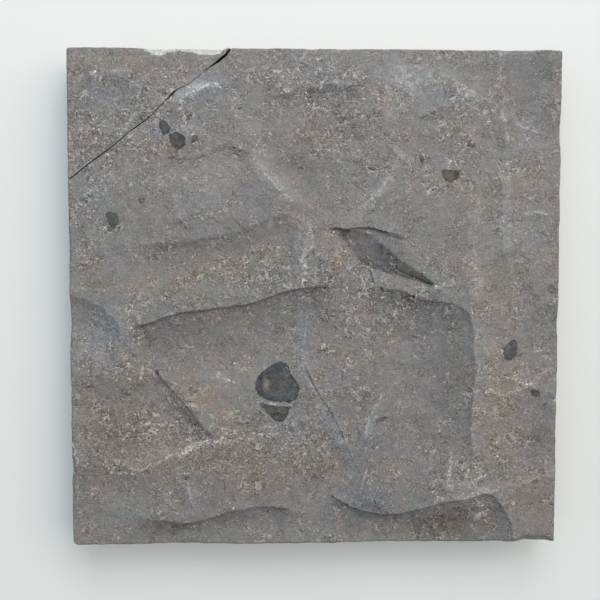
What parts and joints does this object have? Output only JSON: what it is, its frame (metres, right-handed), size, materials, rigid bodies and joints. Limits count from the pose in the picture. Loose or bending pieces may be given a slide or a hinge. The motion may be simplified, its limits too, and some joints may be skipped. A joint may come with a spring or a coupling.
{
  "type": "limestone building stone",
  "caption": "Square slab of grey-brown limestone with a riven face and sawn sides and back, for walling, facing or paving.",
  "frame": {"origin": "middle of the sawn back, which is the underside as the stone lies", "axes": "+Z out of the split face, +X along one sawn side to the right, +Y along the other sawn side, away from the viewer"},
  "size_m": [0.3, 0.304, 0.0335],
  "materials": {
    "limestone": "matt, split face with mottled grey and brown grain"
  },
  "bodies": {
    "root": {"limestone_block": "limestone"}
  },
  "joints": []
}
